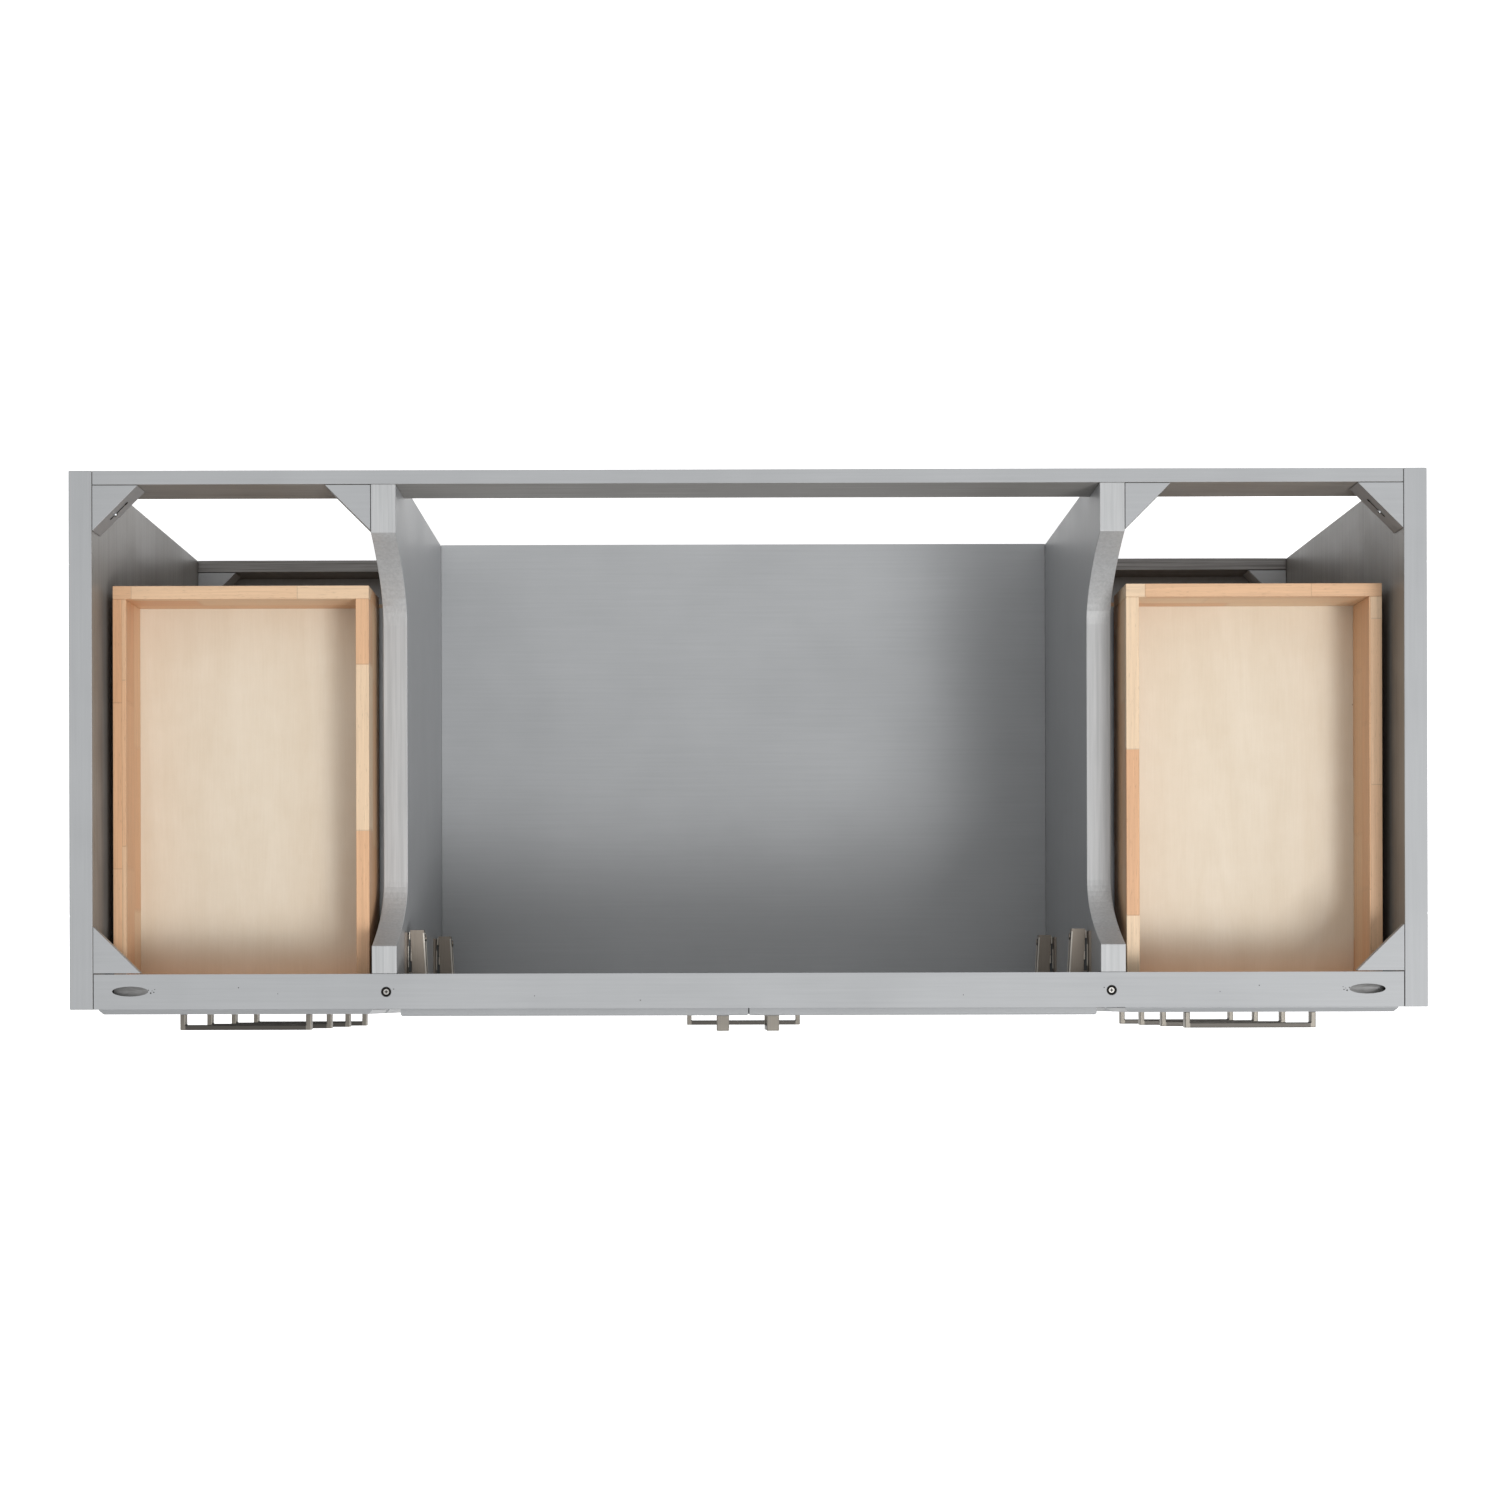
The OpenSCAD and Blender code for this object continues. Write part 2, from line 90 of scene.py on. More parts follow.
def add(tree, kind, inputs=None, **settings):
    """Adds a node with its settings. An input is a value, or an output socket to link from."""
    node = tree.nodes.new(kind)
    for name, value in settings.items():
        setattr(node, name, value)
    for name, value in (inputs or {}).items():
        if isinstance(value, bpy.types.NodeSocket):
            tree.links.new(value, node.inputs[name])
        else:
            node.inputs[name].default_value = value
    return node


def finish_of(name):
    """A new material: the material, its node tree, its shader and its object coordinates."""
    material = bpy.data.materials.new(name)
    material.use_nodes = True
    tree = material.node_tree
    shader = tree.nodes["Principled BSDF"]
    place = add(tree, "ShaderNodeTexCoord").outputs["Object"]
    return material, tree, shader, place


floor_paint, tree, shader, place = finish_of("matt_white_studio_floor")
patch_size = 900 * MM
patches = add(tree, "ShaderNodeTexNoise", {"Vector": place, "Scale": 1 / patch_size, "Detail": 1.0})
floor_tone = add(tree, "ShaderNodeValToRGB", {"Fac": patches.outputs["Fac"]})
floor_tone.color_ramp.elements[0].color = linear("EFEFEF")
floor_tone.color_ramp.elements[1].color = linear("F3F3F3")
tree.links.new(floor_tone.outputs["Color"], shader.inputs["Base Color"])
shader.inputs["Roughness"].default_value = 0.9
shader.inputs["Emission Color"].default_value = (1, 1, 1, 1)
shader.inputs["Emission Strength"].default_value = 0.7
bm = bmesh.new()
bmesh.ops.create_grid(bm, x_segments=1, y_segments=1, size=30.0)
mesh = bpy.data.meshes.new("floor")
bm.to_mesh(mesh)
bm.free()
mesh.materials.append(floor_paint)
floor = bpy.data.objects.new("floor", mesh)
bpy.context.scene.collection.objects.link(floor)
floor.visible_diffuse = False

world = bpy.data.worlds.new("studio_surround")
world.use_nodes = True
sky = world.node_tree
direction = add(sky, "ShaderNodeTexCoord").outputs["Generated"]
upward = add(sky, "ShaderNodeSeparateXYZ", {"Vector": direction}).outputs["Z"]
above = add(sky, "ShaderNodeMath", {0: upward, 1: 0.0}, operation="MAXIMUM")
overhead = add(sky, "ShaderNodeMapRange", {"Value": above.outputs["Value"], "From Min": 0.0,
                                           "From Max": 1.0, "To Min": 0.03, "To Max": 0.98})
lean = add(sky, "ShaderNodeVectorMath", {0: direction, 1: (0.1, 0.12, 0.0)}, operation="DOT_PRODUCT")
fill = add(sky, "ShaderNodeMapRange", {"Value": lean.outputs["Value"], "From Min": -1.0, "From Max": 1.5,
                                       "To Min": 0.0, "To Max": 2.5})
brightness = add(sky, "ShaderNodeMath", {0: overhead.outputs["Result"], 1: fill.outputs["Result"]},
                 operation="MULTIPLY")
seen = add(sky, "ShaderNodeLightPath").outputs["Is Camera Ray"]
strength = add(sky, "ShaderNodeMath", {0: brightness.outputs["Value"], 1: seen}, operation="MAXIMUM")
sky.links.new(strength.outputs["Value"], sky.nodes["Background"].inputs["Strength"])
sky.nodes["Background"].inputs["Color"].default_value = (1, 1, 1, 1)
bpy.context.scene.world = world
bpy.context.scene.view_settings.view_transform = "Standard"

key_data = bpy.data.lights.new("key_light", "AREA")
key_data.shape = "SQUARE"
key_data.size = 2.1
key_data.energy = 258
key_light = bpy.data.objects.new("key_light", key_data)
bpy.context.scene.collection.objects.link(key_light)
key_light.location = (2.5, -2.2, high.z + 6.0)
aim = Vector((0, 0, 0.6)) - key_light.location
key_light.rotation_euler = aim.to_track_quat("-Z", "Y").to_euler()


# ---- Carcass: solid rails, ply partitions and framed side panels, glued and screwed, then sprayed
# with satin grey lacquer. The coat is thin, so grain shows as faint streaks, with a few specks.
def boards_of(bm):
    """The separate solids of a bmesh, each as a list of its vertices."""
    seen, boards = set(), []
    for first in bm.verts:
        if first in seen:
            continue
        seen.add(first)
        board, edge_of_search = [], [first]
        while edge_of_search:
            vert = edge_of_search.pop()
            board.append(vert)
            for edge in vert.link_edges:
                other = edge.other_vert(vert)
                if other not in seen:
                    seen.add(other)
                    edge_of_search.append(other)
        boards.append(board)
    return boards


def corners_of(verts):
    """The lowest and highest corners of some vertices."""
    return (Vector([min(v.co[i] for v in verts) for i in range(3)]),
            Vector([max(v.co[i] for v in verts) for i in range(3)]))


def eased(node, width, keep=None, gap=(0, 0, 0)):
    """A CAD node's solids with their sharp edges eased, or only those whose size passes keep.
    A gap cuts each solid's ends back by that much along X, Y and Z, for open seams."""
    at_end = 0.1 * MM
    bm = bmesh.new()
    bm.from_mesh(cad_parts[node].data)
    bmesh.ops.remove_doubles(bm, verts=bm.verts, dist=1e-5)
    for board in boards_of(bm):
        start, end = corners_of(board)
        if keep and not keep(end - start):
            bmesh.ops.delete(bm, geom=board, context="VERTS")
        elif any(gap):
            for v in board:
                for i in range(3):
                    if v.co[i] < start[i] + at_end:
                        v.co[i] += gap[i]
                    elif v.co[i] > end[i] - at_end:
                        v.co[i] -= gap[i]
    bmesh.ops.dissolve_limit(bm, angle_limit=math.radians(1), verts=bm.verts, edges=bm.edges)
    sharp = [e for e in bm.edges if len(e.link_faces) == 2 and e.calc_face_angle() > math.radians(25)]
    bmesh.ops.bevel(bm, geom=sharp, offset=width, offset_type="OFFSET", affect="EDGES", segments=2,
                    profile=0.5, material=-1, clamp_overlap=True)
    return bm


def score(bm, axis, at, face_axis, face_at, depth=0.7 * MM):
    """Cuts a shallow V line across an outer face, as where a rail meets a stile."""
    across = Vector([float(i == axis) for i in range(3)])
    for offset in (-depth, 0, depth):
        bmesh.ops.bisect_plane(bm, geom=bm.verts[:] + bm.edges[:] + bm.faces[:], dist=1e-6,
                               plane_co=across * (at + offset), plane_no=across)
    for v in bm.verts:
        if abs(v.co[axis] - at) < 1e-5 and abs(v.co[face_axis] - face_at) < 1.5 * depth:
            v.co[face_axis] = face_at - math.copysign(depth, face_at)


def piece_from(bm, name, materials, body, replaced=()):
    """Puts a finished bmesh in the scene as a piece that rides on a body."""
    mesh = bpy.data.meshes.new(name)
    bm.to_mesh(mesh)
    bm.free()
    for material in materials:
        mesh.materials.append(material)
    obj = bpy.data.objects.new(name, mesh)
    bpy.context.scene.collection.objects.link(obj)
    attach(obj, body)
    if replaced:
        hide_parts(*replaced)
    return obj


def satin_grey_lacquer(name, grain_axis, tones=("9FA1A3", "AAACAE"), even=0.5, mark_r=0.8 * MM):
    """Satin grey lacquer, sprayed over boards whose grain runs along one axis. It gives the eye a
    soft even sheen, streaks with the grain, slight orange peel and scattered specks or knots."""
    material, tree, shader, place = finish_of(name)
    streak_w, streak_l, cloud_size, cell_size, peel_size = 3 * MM, 160 * MM, 110 * MM, 55 * MM, 2.5 * MM
    streak_size = [streak_w] * 3
    streak_size[grain_axis] = streak_l
    laid = add(tree, "ShaderNodeMapping", {"Vector": place, "Scale": [1 / s for s in streak_size]})
    streaks = add(tree, "ShaderNodeTexNoise", {"Vector": laid.outputs["Vector"], "Scale": 1.0,
                                               "Detail": 4.0, "Roughness": 0.65})
    clouds = add(tree, "ShaderNodeTexNoise", {"Vector": place, "Scale": 1 / cloud_size, "Detail": 3.0})
    both = add(tree, "ShaderNodeMix", {"Factor": even, "A": streaks.outputs["Fac"],
                                       "B": clouds.outputs["Fac"]})
    tone = add(tree, "ShaderNodeValToRGB", {"Fac": both.outputs["Result"]})
    tone.color_ramp.elements[0].position = 0.3
    tone.color_ramp.elements[0].color = linear(tones[0])
    tone.color_ramp.elements[1].position = 0.7
    tone.color_ramp.elements[1].color = linear(tones[1])
    cells = add(tree, "ShaderNodeTexVoronoi", {"Vector": place, "Scale": 1 / cell_size})
    chance = add(tree, "ShaderNodeSeparateColor", {"Color": cells.outputs["Color"]})
    some = add(tree, "ShaderNodeMath", {0: chance.outputs["Red"], 1: 0.6}, operation="GREATER_THAN")
    speck = add(tree, "ShaderNodeMapRange", {"Value": cells.outputs["Distance"],
                                             "From Min": 0.7 * mark_r / cell_size,
                                             "From Max": 1.3 * mark_r / cell_size,
                                             "To Min": 0.75, "To Max": 0.0})
    dust = add(tree, "ShaderNodeMath", {0: some.outputs["Value"], 1: speck.outputs["Result"]},
               operation="MULTIPLY")
    colour = add(tree, "ShaderNodeMix", data_type="RGBA")
    tree.links.new(dust.outputs["Value"], colour.inputs["Factor"])
    tree.links.new(tone.outputs["Color"], colour.inputs[6])
    colour.inputs[7].default_value = linear("57544F")
    tree.links.new(colour.outputs[2], shader.inputs["Base Color"])
    sheen = add(tree, "ShaderNodeMapRange", {"Value": clouds.outputs["Fac"], "From Min": 0.3,
                                             "From Max": 0.7, "To Min": 0.36, "To Max": 0.46})
    tree.links.new(sheen.outputs["Result"], shader.inputs["Roughness"])
    peel = add(tree, "ShaderNodeTexNoise", {"Vector": place, "Scale": 1 / peel_size, "Detail": 2.0})
    raised = add(tree, "ShaderNodeMix", {"Factor": 0.6, "A": peel.outputs["Fac"],
                                         "B": streaks.outputs["Fac"]})
    bump = add(tree, "ShaderNodeBump", {"Height": raised.outputs["Result"], "Strength": 0.15,
                                        "Distance": 0.3 * MM})
    tree.links.new(bump.outputs["Normal"], shader.inputs["Normal"])
    return material


grey_along = [satin_grey_lacquer("satin_grey_lacquer_grain_" + "xyz"[i], i) for i in range(3)]
# Painted shade: faces inside the drawer columns take a darker, warmer copy of the lacquer; its stronger
# streaks and larger knots show the thin coat there.
inner_face_painted_shade = satin_grey_lacquer("thin_grey_lacquer_painted_shade_grain_y", 1, ("716C67", "9B9995"), 0.35, 2.2 * MM)
# Painted light and grain: the top rear rail's front face takes its own copy of the lacquer, with wider
# tones set for the light on that face and stronger streaks.
rail_face_painted_light = satin_grey_lacquer("grey_lacquer_painted_light_on_rail", 0, ("827D77", "B5B3B0"), 0.3, 2.2 * MM)
ply_edge = satin_grey_lacquer("grey_lacquer_over_ply_edge", 0, ("5C5856", "A09E9C"), 0.1)
# Painted light: the partitions' upward and sloping faces take a lighter copy of the lacquer, with specks.
partition_top_painted_light = satin_grey_lacquer("grey_lacquer_painted_light_on_partition_tops", 1, ("A6A8A9", "BFC0C1"), 0.2,
                               1.1 * MM)
carcass_boards = (  # node, direction of the grain, eased edge (mm), open seams in X, Y and Z (mm)
    ("cupboard_floor", 0, 0.8, (0, 0, 0)), ("front_rails", 0, 0.6, (0.15, 0.15, 0.15)),
    ("bottom_panels", 1, 0.4, (0.1, 0.1, 0.1)),
    ("corner_blocks", 0, 0.3, (0.65, 0.65, 0.1)), ("front_gussets", 0, 0.3, (0.5, 0.9, 0.2)),
    ("feet", 2, 1.5, (0, 0, 0)))
for node, grain, width, gap in carcass_boards:
    bm = eased(node, width * MM, gap=[g * MM for g in gap])
    piece_from(bm, "painted_" + node, [grey_along[grain]], "cabinet", [node])

# Painted shade: the walls of the pocket holes take a darker copy of the lacquer.
pocket_painted_shade = satin_grey_lacquer("grey_lacquer_painted_shade_in_pockets", 0, ("5E5D5C", "8C8C8C"), 0.3)
rail_low, rail_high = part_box("top_front_rail")
pocket_x, pocket_y = rail_high[0] - 45.5 * MM, rail_low[1] + 20.5 * MM
pocket_reach, pocket_half_w = 40 * MM, 6.5 * MM
bm = eased("top_front_rail", 0.5 * MM, gap=(1.0 * MM, 0.35 * MM, 0.15 * MM))
bm.normal_update()
# Pocket walls take the darker copy, as painted shade.
for face in bm.faces:
    at = face.calc_center_median()
    in_pocket = abs(abs(at.x) - pocket_x) < pocket_reach and abs(at.y - pocket_y) < pocket_half_w
    face.material_index = int(in_pocket and abs(face.normal.z) < 0.97)
piece_from(bm, "painted_top_front_rail", [grey_along[0], pocket_painted_shade], "cabinet",
           ["top_front_rail"])

for node, inner in (("top_rear_rail", rail_face_painted_light), ("bottom_rear_rails", ply_edge)):
    bm = eased(node, 0.5 * MM, gap=(0.6 * MM, 0.2 * MM, 0.1 * MM))
    bm.normal_update()
    for face in bm.faces:
        # The top rear rail's front face takes the painted-light copy; the bottom rear rails' front and top
        # faces take the ply-edge copy.
        face.material_index = int(face.normal.y < -0.9 or (inner is ply_edge and face.normal.z > 0.9))
    piece_from(bm, "painted_" + node, [grey_along[0], inner], "cabinet", [node])
for side, outward in (("left", -1), ("right", 1)):
    bm = eased(side + "_partition", 0.8 * MM, gap=(0, 0.4 * MM, 0))
    bm.normal_update()
    # Faces toward the drawer column take the darker painted-shade copy; upward faces take the lighter
    # painted-light copy.
    for face in bm.faces:
        if face.normal.x * outward > 0.9:
            face.material_index = 1
        elif face.normal.z > 0.3:
            face.material_index = 2
    piece_from(bm, "painted_" + side + "_partition", [grey_along[1], inner_face_painted_shade, partition_top_painted_light], "cabinet",
               [side + "_partition"])

stile_w = 105 * MM
for side, outer in (("left", low.x), ("right", high.x)):
    bm = eased(side + "_side_panel", 0.8 * MM)
    panel_low, panel_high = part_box(side + "_side_panel")
    for joint_y in (panel_low[1] + stile_w, panel_high[1] - stile_w):
        score(bm, 1, joint_y, 0, outer)
    bm.normal_update()
    # Inner faces take the darker painted-shade copy of the lacquer.
    for face in bm.faces:
        face.material_index = int(face.normal.x * outer < -0.9 * abs(outer))
    piece_from(bm, "painted_" + side + "_side_panel", [grey_along[1], inner_face_painted_shade], "cabinet",
               [side + "_side_panel"])

# ---- Doors: framed doors with a flat recessed panel, in the same lacquer. The joints between the
# stiles and the rails show as fine lines, and the two meeting edges leave a gap of a millimetre.
door_stile_w = 56 * MM
edge_zone, edge_out = 3 * MM, 1 * MM
for side in ("left", "right"):
    bm = eased(side + "_door", 0.8 * MM)
    door_low, door_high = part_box(side + "_door")
    for v in bm.verts:
        if abs(v.co.x) < edge_zone:
            v.co.x -= math.copysign(edge_out, v.co.x)
    for joint_x in (door_low[0] + door_stile_w, door_high[0] - door_stile_w):
        score(bm, 0, joint_x, 1, door_low[1])
    piece_from(bm, "painted_" + side + "_door", [grey_along[2]], side + "_door",
               [side + "_door"])


# ---- Drawer boxes: rubberwood boards, each glued up from finger-jointed blocks under clear lacquer.
# The sides butt against the back, and a thin pale plywood bottom sits in a groove all round.
def lay_grain(bm, shift):
    """Gives each board its own grain coordinates: along it, up it and through it, in metres."""
    board_shift = 0.31
    grain = bm.verts.layers.float_vector.new("grain_place")
    for count, board in enumerate(boards_of(bm)):
        start, end = corners_of(board)
        along = 0 if end.x - start.x > end.y - start.y else 1
        for v in board:
            v[grain] = (v.co[along] + shift + board_shift * count, v.co.z, v.co[1 - along])


def clear_lacquered_rubberwood():
    """Rubberwood in finger-jointed blocks, sanded and clear lacquered. It gives the eye short warm
    blocks of different tone, with zigzag joints, straight grain and fine dark pores."""
    material, tree, shader = finish_of("clear_lacquered_rubberwood")[:3]
    laid = add(tree, "ShaderNodeAttribute", attribute_name="grain_place").outputs["Vector"]
    parts = add(tree, "ShaderNodeSeparateXYZ", {"Vector": laid})
    strip_h, block_l, finger, zig = 40 * MM, 190 * MM, 5 * MM, 2.2
    end_share, strip_share = 0.006, 0.02  # width of a glue line, against a block and against a strip
    strip = add(tree, "ShaderNodeVectorMath", {0: laid, 1: (0, 1 / strip_h, 1.4 / strip_h)},
                operation="DOT_PRODUCT").outputs["Value"]
    strip_number = add(tree, "ShaderNodeMath", {0: strip}, operation="FLOOR").outputs["Value"]
    stagger = add(tree, "ShaderNodeTexWhiteNoise", {"W": strip_number}, noise_dimensions="1D")
    begun = add(tree, "ShaderNodeMath", {0: parts.outputs["X"], 1: 1 / block_l,
                                         2: stagger.outputs["Value"]}, operation="MULTIPLY_ADD")
    zigzag = add(tree, "ShaderNodeMath", {0: parts.outputs["Y"], 1: finger / 2}, operation="PINGPONG")
    block = add(tree, "ShaderNodeMath", {0: zigzag.outputs["Value"], 1: zig / block_l,
                                         2: begun.outputs["Value"]},
                operation="MULTIPLY_ADD").outputs["Value"]
    block_number = add(tree, "ShaderNodeMath", {0: block}, operation="FLOOR").outputs["Value"]
    name_of_block = add(tree, "ShaderNodeCombineXYZ", {"X": block_number, "Y": strip_number})
    chance = add(tree, "ShaderNodeTexWhiteNoise", {"Vector": name_of_block.outputs["Vector"]},
                 noise_dimensions="3D")
    tone = add(tree, "ShaderNodeValToRGB", {"Fac": chance.outputs["Value"]})
    stops = ((0.0, "D2A077"), (0.14, "D9AB83"), (0.45, "DAB18B"), (0.8, "DDBB98"), (1.0, "E2C7A7"))
    tone.color_ramp.elements[0].color = linear(stops[0][1])
    tone.color_ramp.elements[1].color = linear(stops[-1][1])
    for position, colour in stops[1:-1]:
        tone.color_ramp.elements.new(position).color = linear(colour)
    fibre_l, fibre_w, pore_l, pore_w = 110 * MM, 2.4 * MM, 9 * MM, 0.8 * MM
    grain_size = add(tree, "ShaderNodeMapping", {"Vector": laid,
                                                 "Scale": (1 / fibre_l, 1 / fibre_w, 1 / fibre_w)})
    shifted = add(tree, "ShaderNodeVectorMath", {0: grain_size.outputs["Vector"],
                                                 1: chance.outputs["Color"]}, operation="ADD")
    fibres = add(tree, "ShaderNodeTexNoise", {"Vector": shifted.outputs["Vector"], "Scale": 1.0,
                                              "Detail": 5.0, "Roughness": 0.6, "Distortion": 0.4})
    pore_size = add(tree, "ShaderNodeMapping", {"Vector": laid,
                                                "Scale": (1 / pore_l, 1 / pore_w, 1 / pore_w)})
    pores = add(tree, "ShaderNodeTexNoise", {"Vector": pore_size.outputs["Vector"], "Scale": 1.0,
                                             "Detail": 2.0})
    pore = add(tree, "ShaderNodeMapRange", {"Value": pores.outputs["Fac"], "From Min": 0.62,
                                            "From Max": 0.72, "To Min": 1.0, "To Max": 0.8})
    streak = add(tree, "ShaderNodeMapRange", {"Value": fibres.outputs["Fac"], "From Min": 0.3,
                                              "From Max": 0.7, "To Min": 0.86, "To Max": 1.06})
    along_block = add(tree, "ShaderNodeMath", {0: block}, operation="FRACT")
    up_strip = add(tree, "ShaderNodeMath", {0: strip}, operation="FRACT")
    end_line = add(tree, "ShaderNodeMath", {0: along_block.outputs["Value"], 1: end_share},
                   operation="LESS_THAN")
    strip_line = add(tree, "ShaderNodeMath", {0: up_strip.outputs["Value"], 1: strip_share},
                     operation="LESS_THAN")
    line = add(tree, "ShaderNodeMath", {0: end_line.outputs["Value"], 1: strip_line.outputs["Value"]},
               operation="MAXIMUM")
    joint = add(tree, "ShaderNodeMath", {0: line.outputs["Value"], 1: -0.2, 2: 1.0},
                operation="MULTIPLY_ADD")
    grain = add(tree, "ShaderNodeMath", {0: streak.outputs["Result"], 1: pore.outputs["Result"]},
                operation="MULTIPLY")
    depth = add(tree, "ShaderNodeMath", {0: grain.outputs["Value"], 1: joint.outputs["Value"]},
                operation="MULTIPLY").outputs["Value"]
    colour = add(tree, "ShaderNodeVectorMath", {0: tone.outputs["Color"], "Scale": depth},
                 operation="SCALE")
    tree.links.new(colour.outputs["Vector"], shader.inputs["Base Color"])
    shader.inputs["Roughness"].default_value = 0.45
    bump = add(tree, "ShaderNodeBump", {"Height": depth, "Strength": 0.25, "Distance": 0.2 * MM})
    tree.links.new(bump.outputs["Normal"], shader.inputs["Normal"])
    return material


def sanded_birch_plywood():
    """Rotary-cut birch plywood, sanded and lightly sealed. It gives the eye a pale even face with
    broad soft figure, a few tiny knots, and a warm orange tint along the front that is painted shade."""
    material, tree, shader, place = finish_of("sanded_birch_plywood")
    figure_w, figure_l, fibre_w, fibre_l = 55 * MM, 330 * MM, 1.8 * MM, 45 * MM
    mottle_size, cell_size = 38 * MM, 70 * MM
    front_shade_from, front_shade_to = low.y + 25 * MM, low.y + 115 * MM
    figure_size = add(tree, "ShaderNodeMapping", {"Vector": place,
                                                  "Scale": (1 / figure_w, 1 / figure_l, 1 / figure_l)})
    figure = add(tree, "ShaderNodeTexNoise", {"Vector": figure_size.outputs["Vector"], "Scale": 1.0,
                                              "Detail": 4.0, "Roughness": 0.55, "Distortion": 1.2})
    fibre_size = add(tree, "ShaderNodeMapping", {"Vector": place,
                                                 "Scale": (1 / fibre_w, 1 / fibre_l, 1 / fibre_l)})
    fibres = add(tree, "ShaderNodeTexNoise", {"Vector": fibre_size.outputs["Vector"], "Scale": 1.0,
                                              "Detail": 3.0})
    mottle = add(tree, "ShaderNodeTexNoise", {"Vector": place, "Scale": 1 / mottle_size, "Detail": 6.0,
                                              "Roughness": 0.7})
    soft = add(tree, "ShaderNodeMix", {"Factor": 0.4, "A": figure.outputs["Fac"],
                                       "B": mottle.outputs["Fac"]})
    both = add(tree, "ShaderNodeMix", {"Factor": 0.2, "A": soft.outputs["Result"],
                                       "B": fibres.outputs["Fac"]})
    tone = add(tree, "ShaderNodeValToRGB", {"Fac": both.outputs["Result"]})
    tone.color_ramp.elements[0].position = 0.3
    tone.color_ramp.elements[0].color = linear("D3C5AF")
    tone.color_ramp.elements[1].position = 0.68
    tone.color_ramp.elements[1].color = linear("DED3C1")
    cells = add(tree, "ShaderNodeTexVoronoi", {"Vector": place, "Scale": 1 / cell_size})
    chance = add(tree, "ShaderNodeSeparateColor", {"Color": cells.outputs["Color"]})
    some = add(tree, "ShaderNodeMath", {0: chance.outputs["Green"], 1: 0.65}, operation="GREATER_THAN")
    knot = add(tree, "ShaderNodeMapRange", {"Value": cells.outputs["Distance"], "From Min": 0.006,
                                            "From Max": 0.02, "To Min": 0.6, "To Max": 0.0})
    marked = add(tree, "ShaderNodeMath", {0: some.outputs["Value"], 1: knot.outputs["Result"]},
                 operation="MULTIPLY")
    colour = add(tree, "ShaderNodeMix", data_type="RGBA")
    tree.links.new(marked.outputs["Value"], colour.inputs["Factor"])
    tree.links.new(tone.outputs["Color"], colour.inputs[6])
    colour.inputs[7].default_value = linear("8E6F50")
    # Painted shade: the bottom is tinted warm towards the cabinet's front, standing in for the shadow
    # under the front rail.
    depth_in = add(tree, "ShaderNodeSeparateXYZ", {"Vector": place}).outputs["Y"]
    front_shade_amount = add(tree, "ShaderNodeMapRange", {"Value": depth_in, "From Min": front_shade_from,
                                              "From Max": front_shade_to, "To Min": 0.85, "To Max": 0.0},
                 interpolation_type="SMOOTHSTEP")
    warm_shade_tint = add(tree, "ShaderNodeMix", data_type="RGBA", blend_type="MULTIPLY")
    tree.links.new(front_shade_amount.outputs["Result"], warm_shade_tint.inputs["Factor"])
    tree.links.new(colour.outputs[2], warm_shade_tint.inputs[6])
    warm_shade_tint.inputs[7].default_value = (1.1, 0.74, 0.5, 1.0)
    tree.links.new(warm_shade_tint.outputs[2], shader.inputs["Base Color"])
    shader.inputs["Roughness"].default_value = 0.6
    bump = add(tree, "ShaderNodeBump", {"Height": fibres.outputs["Fac"], "Strength": 0.15,
                                        "Distance": 0.1 * MM})
    tree.links.new(bump.outputs["Normal"], shader.inputs["Normal"])
    return material


rubberwood = clear_lacquered_rubberwood()
plywood = sanded_birch_plywood()
drawers = [f"{side}_drawer_{row}" for side in ("left", "right") for row in range(1, 5)]
drawers.append("middle_drawer")
bottom_t = 6 * MM
for number, drawer in enumerate(drawers):
    walls = eased(drawer + "_box", 0.7 * MM, keep=lambda size: size.z > bottom_t)
    lay_grain(walls, 0.47 * number)
    piece_from(walls, drawer + "_walls", [rubberwood], drawer, [drawer + "_box"])
    base = eased(drawer + "_box", 0.3 * MM, keep=lambda size: size.z < bottom_t)
    piece_from(base, drawer + "_bottom", [plywood], drawer, [drawer + "_box"])

# ---- Drawer fronts: solid slabs in the grey lacquer, with a chamfer all round the face and the
# grain across. They are screwed to the boxes from inside.
for drawer in drawers:
    piece_from(eased(drawer + "_front", 0.5 * MM), "painted_" + drawer + "_front", [grey_along[0]],
               drawer, [drawer + "_front"])


